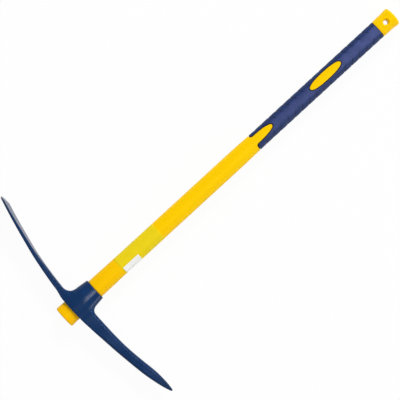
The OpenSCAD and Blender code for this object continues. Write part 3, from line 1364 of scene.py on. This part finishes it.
    def seam_x(self, y: Array, gap: float) -> Array:
        """Places along the handle at which the seam crosses columns of the grip.

        Args:
            y: Place of each column across the grip.
            gap: Distance from the outline, above zero on the grip's side.

        Returns:
            The places.
        """
        start = np.stack([0 * y + self.joint_x, y, 0 * y], -1)
        along = np.array([1.0, 0.0, 0.0])
        return cast(lambda p: self.outline(p[..., 0], p[..., 1]) - gap, start, along, self.seam_reach)[:, 0]

    def radius(self, x: Array) -> Array:
        """Half width of the handle: taper, slimming shaft, run to the grip and flared butt.

        Args:
            x: Places along the handle.

        Returns:
            The half widths.
        """
        shaft = mix(self.r_neck, self.r_shaft, ramp(x, self.rim_x, self.slim_len))
        grip = mix(shaft, self.r_grip, ramp(x, self.grip_x0 - self.run_len, self.run_len))
        flare = ramp(x, self.length - self.flare_len, self.flare_len - self.end_round)
        return np.where(x < self.rim_x, self.taper_r(x), mix(grip, self.r_butt, flare))

    def outline(self, x: Array, y: Array) -> Array:
        """Signed distance to the edge between jacket and grip, below zero on the jacket.

        The window and the tongue are squared ovals; the shaft is a half plane, welded to the tongue with
        the rounding of the grip's prongs.

        Args:
            x: Places along the handle.
            y: Places across it.

        Returns:
            The distance.
        """
        across, half, p = y - self.window_set, self.window_w / 2, self.window_power
        window = oval_level(x - self.window_x, across, self.window_len / 2, half, p)
        tongue = oval_level(x - self.grip_x0, across, self.tongue_len, half, p)
        shaft = smooth_min(x - self.grip_x0, tongue, self.prong_round)
        return np.minimum(np.minimum(window, shaft), self.grip_x1 - x)

    def surface(self, x: Array, turn: Array, depth: Array) -> Array:
        """Points at a depth under the handle's oval.

        Args:
            x: Places along the handle.
            turn: Angle round the oval.
            depth: Depth under its surface, in half width.

        Returns:
            The points.
        """
        c, s = oval_unit(turn, self.square)
        r = self.radius(x) - depth
        return np.stack([x, r * c, self.oval * r * s], -1)

    def edge_depth(self, edge: Array, floor: float) -> Array:
        """Depth of a quarter-round seam.

        Args:
            edge: Distance past the seam's edge.
            floor: Depth past the edge.

        Returns:
            Nothing away from the edge, the seam's rounding up to it and the floor past it.
        """
        near = np.clip(self.seam + edge, 0.0, self.seam)
        rounded = self.seam - np.sqrt(self.seam**2 - near**2)
        return np.where(edge > TINY, floor, rounded)

    def painted_shade(self, away: Array) -> Array:
        """Strength of the painted shade at a distance from a seam's edge: full at the edge, eased to nothing.
        """
        return self.seam_shade * (1.0 - ease(away / self.seam_shade_w))

    def gate(self, top: Array) -> Array:
        """Depth of the gate mark in the shaft's upper side: a round dimple with a nub in its middle.

        Args:
            top: Points of the shaft.

        Returns:
            The depth at each point.
        """
        away = np.hypot(top[..., 0] - self.gate_x, top[..., 1] - self.window_set)
        dimple = self.gate_depth * (1.0 - ramp(away, *(self.gate_r * share for share in self.gate_at)))
        nub = self.nub_h * (1.0 - ramp(away, *self.nub_at))
        return np.where(top[..., 2] > 0, dimple - nub, 0.0)

    def jacket_sheet(self) -> Sheet:
        """Skin of the jacket up to the grip: blind bore, end face, rounded end, taper and shaft.

        Returns:
            The sheet, whose columns turn to those of the seam before the joint.
        """
        e = self.end_round
        arc = np.linspace(0.0, np.pi / 2, self.round_rows)
        x = np.append(e * (1 - np.cos(arc)), stations(*self.shaft_rows))
        lead = np.append(e * (1 - np.sin(arc)), np.zeros(len(x) - len(arc)))[:, None]
        seam = self.seam_columns(-self.seam_gap)
        angles = full_turn(len(seam))
        gx, turn = np.meshgrid(x, angles, indexing="ij")
        turn = mix(turn, seam[None], ramp(gx, self.turn_x, self.joint_x - self.turn_x))
        top = self.surface(gx, turn, lead + self.gate(self.surface(gx, turn, lead)))
        cos, sin = np.cos(angles), np.sin(angles)
        bore_r = self.core_r + column(self.bore_wider)
        bore = np.stack([column(self.bore_x) + 0 * cos, bore_r * cos, bore_r * sin], -1)
        points = np.concatenate([bore, between(bore[-1:], top[:1], self.face_rows), top])
        behind = from_axis(points, INWARD)
        behind[: len(bore)] = from_axis(bore, OUTWARD)
        # painted shade: a dark line on the handle just past the collar's rim
        seat = self.seat_shade * bell(points[..., 0] - self.rim_x - self.seat_shade_gap, self.seat_shade_w)
        # painted shadow of the head on the stub in front of it, left off the bore
        foot = self.foot_shadow * bell(points[..., 0] - self.foot_shadow_x, self.foot_shadow_w)
        foot[: len(bore)] = 0.0
        return Sheet(points, behind, fans=(True, False), marks=seat + foot)

    def tongue_sheet(self) -> Sheet:
        """Skin of the jacket from the shaft to the seam with the grip, then its sunk floor under the grip.

        Returns:
            The sheet.
        """
        turn = self.seam_columns(-self.seam_gap)
        y = self.seam_y(turn)
        end = self.seam_x(y, -self.seam_gap)
        t = np.linspace(0.0, 1.0, self.tongue_rows)[:, None]
        x = np.concatenate([
            mix(self.joint_x, end - self.tongue_stop, t),
            end - column(self.tongue_lead),
            np.stack([end, 0 * end + self.grip_x1 + self.under]),
        ])
        past = self.outline(x, y) + self.seam_gap
        depth = self.edge_depth(past, self.skin)
        depth[-2:] = self.skin
        depth[0] = 0.0
        points = self.surface(x, turn + 0 * x, depth)
        # marks: painted shade along the seam with the grip
        return Sheet(points, from_axis(points, INWARD), fans=(False, True), marks=self.painted_shade(-past))

    def pad_sheet(self, above: bool) -> Sheet:
        """Raised oval in the grip's window: rings from its foot over its rounded edge to its middle line.

        Args:
            above: Whether it is the upper one of the two.

        Returns:
            The sheet.
        """
        a, b, p = self.window_len / 2, self.window_w / 2, self.window_power
        u, v = oval_unit(full_turn(self.pad_cols), p)
        nx, ny = np.sign(u) * np.abs(u) ** (p - 1) / a, np.sign(v) * np.abs(v) ** (p - 1) / b
        size = np.hypot(nx, ny)
        inset = column(self.pad_inset)
        step = inset + self.seam_gap
        x, y = a * u - step * nx / size, b * v - step * ny / size
        t = np.linspace(0.0, 1.0, self.pad_rows + 1)[1:, None]
        x = np.concatenate([x, mix(x[-1], self.pad_line * x[-1], t)])
        y = np.concatenate([y, mix(y[-1], 0.0, t)])
        away = np.concatenate([inset, 0 * t + a])
        depth = self.edge_depth(-away, self.skin)
        depth[0] = self.skin
        turn = self.turn_at(y + self.window_set)
        points = self.surface(x + self.window_x, turn if above else 2 * np.pi - turn, depth + 0 * x)
        # marks: painted shade round the pad's seam
        marks = self.painted_shade(away) + 0 * x
        return Sheet(points, from_axis(points, INWARD), fans=(True, False), marks=marks)

    def cap_level(self, p: Array) -> Array:
        """Field of the cap: the flared oval with a neck by the grip, cut at the butt, less the hang hole.

        Args:
            p: Points.

        Returns:
            The field, below zero inside.
        """
        x, y, z = p[..., 0], np.abs(p[..., 1]), np.abs(p[..., 2])
        lift = self.cap_lift * ramp(x, self.grip_x1 + self.cap_neck, self.neck_run)
        from_hole = np.hypot(x - self.hole_x, y)
        bead = self.bead * bell(from_hole - self.bead_r, self.bead_w)
        side = self.side_level(p, self.radius(x) + lift) - bead
        end = x - self.length + self.end_bow * (y / self.r_butt) ** 2
        shell = smooth_max(smooth_max(side, end, self.butt_round), self.grip_x1 - x, self.neck_round)
        mouth = self.oval * self.radius(np.array(self.hole_x)) - self.hole_chamfer / self.hole_slope
        bore = self.hole_r + self.hole_slope * np.maximum(z - mouth, 0.0) - from_hole
        return smooth_max(shell, bore, self.hole_round)

    def cap_sheet(self) -> Sheet:
        """Skin of the cap as a ring round the hang hole: rays from a circle inside the wall.

        Returns:
            The sheet, cast to the cap's field and closed both ways.
        """
        phi, psi = full_turn(self.cap_grid[0])[:, None], full_turn(self.cap_grid[1])[None]
        r, out = self.cap_ring, np.cos(psi)
        start = np.stack([self.hole_x + r * np.cos(phi), r * np.sin(phi), 0 * phi], -1)
        way = np.stack([out * np.cos(phi), out * np.sin(phi), np.sin(psi) + 0 * phi], -1)
        to_axis = r / np.maximum(-out, r / self.cap_ray)
        points = cast(self.cap_level, start, way, to_axis + 0 * phi)
        return Sheet(points, start, loop_rows=True)

    def ribs(self, x: Array, turn: Array, edge: Array) -> tuple[Array, Array]:
        """Depth of the grip's swept grooves: V-shaped rows that point to the butt and grow towards the sides.

        Args:
            x: Places along the handle.
            turn: Angle round the oval.
            edge: Distance to the seam.

        Returns:
            The depth, and the strength of the groove itself.
        """
        across = np.abs(self.seam_y(turn))
        phase = (x + self.rib_sweep * across) / self.rib_pitch
        off = phase - np.floor(phase) - 0.5
        groove = bell(off * self.rib_pitch, self.rib_w)
        slope = self.rib_slope * np.clip(1.0 - np.abs(off) / 0.5, 0.0, 1.0)
        shown = mix(self.rib_least, 1.0, ramp(across, *self.rib_side_at)) * ramp(edge, *self.rib_clear_at)
        return self.rib_depth * (groove + slope) * shown, groove * shown

    def grip_rows(self, y: Array) -> tuple[Array, Array]:
        """Rows of the grip's outside, which start, stop and go on at the seams.

        Args:
            y: Place across the grip of each column.

        Returns:
            Places along the handle as rows by columns, and which of the rows pass under the window's pad.
        """
        begin = self.seam_x(y, self.seam_gap)
        v = np.clip(np.abs(y - self.window_set) / (self.window_w / 2 + self.seam_gap), 0.0, 1.0)
        p = self.window_power
        half = np.maximum((self.window_len / 2 + self.seam_gap) * (1 - v**p) ** (1 / p), self.bridge)
        near, far = self.window_x - half, self.window_x + half
        lead = column(self.grip_lead)

        def run(start: Array, end: float, count: int, way: int) -> Array:
            """Rows from a seam to a plain station, fine at the seam."""
            t = np.linspace(0.0, 1.0, count + 1)[1:, None]
            return np.concatenate([start + way * lead, mix(start + way * lead[-1], end, t)])

        last = self.grip_x1 - self.seam_gap + 0 * y
        (a, b), rows = self.meet_x, self.meet_rows
        parts = [
            run(begin, a, rows[0], 1),
            run(near, a, rows[1], -1)[-2::-1],
            np.stack([near, far]),
            run(far, b, rows[2], 1),
            run(last, b, rows[3], -1)[-2::-1],
        ]
        under = np.concatenate([np.full(len(part), n == 2) for n, part in enumerate(parts)])
        return np.concatenate(parts), under

    def grip_sheet(self) -> Sheet:
        """Skin of the soft grip: outside with swept grooves and seams, closed by an inner wall.

        Returns:
            The sheet, closed both ways.
        """
        turn = self.seam_columns(self.seam_gap)
        y = self.seam_y(turn)
        x, under = self.grip_rows(y)
        edge = self.outline(x, y) - self.seam_gap
        low = self.skin - self.foot
        below = under[:, None] & (np.abs(y - self.window_set) < self.window_w / 2 + self.seam_gap - TINY)
        sunk, groove = self.ribs(x, turn + 0 * x, edge)
        depth = np.where(below, low, self.edge_depth(-edge, low))
        outer = self.surface(x, turn + 0 * x, depth + sunk)
        begin = x[0] - self.tuck
        back = np.stack([x[-1], *(0 * y + place for place in self.wall_x), begin, begin, x[0]])
        gaps = self.wall_gap * column((1, 1, 1, 1, 2, 2))
        inner = self.surface(back, turn + 0 * back, self.skin - gaps + 0 * back)
        middle = np.concatenate([from_axis(outer, INWARD), from_axis(inner, OUTWARD)])
        # marks: painted shade in the grooves and by the seams, full on the hidden inner wall
        painted_shade = np.maximum(groove, self.painted_shade(np.where(below, 0.0, edge)))
        marks = np.concatenate([painted_shade, 0 * back + 1.0])
        return Sheet(np.concatenate([outer, inner]), middle, loop_rows=True, marks=marks)

    def label_sheet(self, x: Span, turn: Span, lift: float) -> Sheet:
        """Thin film on the shaft: a grid above the oval whose edges turn down to a back just under it.

        Args:
            x: Ends along the handle.
            turn: Ends round the oval, as angles.
            lift: Height of the film over the jacket.

        Returns:
            The sheet.
        """
        rows, cols = self.film_grid
        gx, gt = np.meshgrid(np.linspace(*x, rows), np.linspace(*turn, cols), indexing="ij")
        i, j = np.meshgrid(np.arange(rows), np.arange(cols), indexing="ij")
        rim = (i == 0) | (i == rows - 1) | (j == 0) | (j == cols - 1)
        step = self.film_edge * (gx[1, 0] - gx[0, 0])
        gx = gx + step * ((i == 0) * 1.0 - (i == rows - 1) * 1.0)
        middle = sum(turn) / 2
        rise = lift + self.film * ramp(np.abs(gt - middle), *self.lap_at) * (gt > middle)
        under = np.full_like(gx, self.film_back)
        outer = self.surface(gx, gt, np.where(rim, under, -rise))
        back = self.surface(gx, gt, under)[::-1]
        behind = np.concatenate([from_axis(outer, INWARD), from_axis(back, OUTWARD)])
        return Sheet(np.concatenate([outer, back]), behind, loop_rows=True, loop_cols=False)

    def build(self) -> list[bpy.types.Object]:
        """Builds and dresses the handle, and gives the rod's own mesh its finish.

        Returns:
            Its pieces.
        """
        pads = [self.pad_sheet(above) for above in (True, False)]
        sheets = [self.jacket_sheet(), self.tongue_sheet(), *pads, self.cap_sheet()]
        jacket = dress(make_piece("hard_jacket", sheets), YELLOW_JACKET, Body.HANDLE)
        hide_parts("handle_jacket")
        grip = dress(make_piece("soft_grip", [self.grip_sheet()]), BLUE_GRIP, Body.HANDLE)
        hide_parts("grip_sleeve")
        film = self.label_sheet(self.label_x, self.label_turn, self.film)
        panel = self.label_sheet(self.panel_x, self.panel_turn, 2 * self.film)
        labels = [
            dress(make_piece("label_film", [film]), LEMON_FILM, Body.HANDLE),
            dress(make_piece("label_panel", [panel]), WHITE_PANEL, Body.HANDLE),
        ]
        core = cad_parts["fibreglass_core"]
        core.data.materials.clear()
        core.data.materials.append(FIBRE_END.material())
        return [jacket, grip, *labels, core]


# ---------------------------------------------------------------- studio


@dataclass(frozen=True)
class Lamp:
    """Oval soft lamp.

    Attributes:
        name: Its name.
        at: Its place.
        size: Its length and width.
        power: Its power in watts.
        shows: Whether it shows as a highlight.
    """

    name: str
    at: Place
    size: Span
    power: float
    shows: bool = False


@dataclass
class Studio:
    """Camera straight above, pale floor, soft lamps and world."""

    camera_at: Place = (0.3815, -0.0114, 5.4)
    right: Place = (0.73654, -0.67635, 0.0)
    up: Place = (0.67635, 0.73654, 0.0)
    lens: float = 228.8
    sensor: float = 36.0
    sight: float = 100.0
    floor_mid: float = 0.5
    floor_cols: int = 96
    floor_r: float = 7.0
    cove_r: float = 0.8
    cove_rows: int = 13
    wall_z: float = 1.2
    floor_z: float = -0.0258
    floor_shade: float = 0.86
    floor_glow: float = 0.95
    sky: float = 0.3
    lamps_to: Place = (0.3, 0.0, 0.0)
    rig: tuple[Lamp, ...] = (
        Lamp("key_lamp", (6.8, 3.8, 5.4), (2.2, 2.2), 510.0),
        Lamp("top_lamp", (1.05, -0.9, 6.0), (1.2, 1.8), 80.0, True),
        Lamp("left_lamp", (-3.4, 3.4, 3.8), (2.2, 2.2), 30.0),
        Lamp("side_lamp", (3.7, -3.7, 2.4), (0.5, 0.5), 50.0, True),
        Lamp("low_lamp", (0.6, -5.2, 1.3), (2.0, 1.6), 44.0, True),
    )

    def camera(self) -> None:
        """Camera at the photograph's viewing angle."""
        data = bpy.data.cameras.new("camera")
        data.lens = self.lens
        data.sensor_width = self.sensor
        data.clip_end = self.sight
        camera = bpy.data.objects.new("camera", data)
        bpy.context.scene.collection.objects.link(camera)
        camera.matrix_world = self.placed(self.camera_at, self.right, self.up)
        bpy.context.scene.camera = camera

    def floor(self) -> bpy.types.Object:
        """Round floor just under the blade, which turns up into a low wall outside its radius.

        The profile is a level line, a quarter circle and an upright line, carried round a circle. Rays from
        the camera and rays off gloss see it glow a little under white, and the rest see a matt floor.

        Returns:
            The floor.
        """
        arc = np.linspace(0.0, np.pi / 2, self.cove_rows)
        out = np.append([self.floor_mid], self.floor_r + self.cove_r * np.sin(arc))
        rise = np.append([0.0], self.cove_r * (1.0 - np.cos(arc)))
        out, rise = np.append(out, out[-1])[:, None], np.append(rise, self.wall_z)[:, None]
        way = full_turn(self.floor_cols)[None]
        points = np.stack([out * np.cos(way), out * np.sin(way), self.floor_z + rise + 0 * way], -1)
        behind = points * np.array([1.1, 1.1, 1.0]) - np.array([0.0, 0.0, 1.0])
        floor = make_piece("studio_floor", [Sheet(points, behind, fans=(True, False))])
        material = bpy.data.materials.new("studio_floor")
        material.use_nodes = True
        nodes = material.node_tree.nodes
        nodes.remove(nodes["Principled BSDF"])
        tree = Tree(material.node_tree)
        matt = tree.add("BsdfDiffuse", {"Color": rgba((1.0, 1.0, 1.0), self.floor_shade)})
        glow = tree.add("Emission", {"Color": rgba((1.0, 1.0, 1.0)), "Strength": 1.0})
        share = tree.times(self.seen(tree), self.floor_glow)
        shader = tree.add("MixShader", {0: share, 1: matt.outputs[0], 2: glow.outputs[0]})
        tree.feed(nodes["Material Output"], {"Surface": shader.outputs[0]})
        floor.data.materials.append(material)
        return floor

    def lamps(self) -> None:
        """Lamps of the rig, all turned to the head's half of the handle, and an even white world."""
        for lamp in self.rig:
            data = bpy.data.lights.new(lamp.name, "AREA")
            data.shape = "ELLIPSE"
            data.size, data.size_y = lamp.size
            data.energy = lamp.power
            light = bpy.data.objects.new(lamp.name, data)
            bpy.context.scene.collection.objects.link(light)
            back = np.array(lamp.at) - np.array(self.lamps_to)
            side = np.cross((0.0, 1.0, 0.0), back)
            side, up = side / np.linalg.norm(side), np.cross(back, side)
            light.matrix_world = self.placed(lamp.at, side, up / np.linalg.norm(up))
            light.visible_glossy = lamp.shows
        world = bpy.data.worlds.new("studio")
        bpy.context.scene.world = world
        world.use_nodes = True
        sky = {"Color": rgba((1.0, 1.0, 1.0)), "Strength": self.sky}
        Tree(world.node_tree).feed(world.node_tree.nodes["Background"], sky)

    @staticmethod
    def seen(tree: Tree) -> Socket:
        """Mask of the rays that show the background: camera, glossy and transmission rays.

        Args:
            tree: The nodes that get the mask.

        Returns:
            The mask.
        """
        path = tree.add("LightPath").outputs
        mirrored = tree.math("MAXIMUM", path["Is Glossy Ray"], path["Is Transmission Ray"])
        return tree.math("MAXIMUM", path["Is Camera Ray"], mirrored)

    @staticmethod
    def placed(at: Place, right: Array | Place, up: Array | Place) -> Matrix:
        """Place and turn of a camera or lamp, which looks along its -Z.

        Args:
            at: Its place.
            right: Unit direction of its right side.
            up: Unit direction of its upper side.

        Returns:
            The matrix.
        """
        turn = np.eye(4)
        turn[:3, :3] = np.stack([right, up, np.cross(right, up)], -1)
        turn[:3, 3] = at
        return Matrix(turn.tolist())

    def build(self) -> list[bpy.types.Object]:
        """Sets up the studio.

        Returns:
            Its floor.
        """
        bpy.context.scene.view_settings.view_transform = "Standard"
        self.camera()
        floor = self.floor()
        self.lamps()
        return [floor]


def main() -> None:
    """Builds the studio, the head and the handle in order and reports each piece."""
    logging.basicConfig(level=logging.INFO, format="%(name)s: %(message)s")
    for assembly in (Studio(), PickHead(), Handle()):
        for piece in assembly.build():
            LOG.info("%s: %d faces", piece.name, len(piece.data.polygons))
    bpy.context.view_layer.update()


if __name__ == "__main__":
    main()
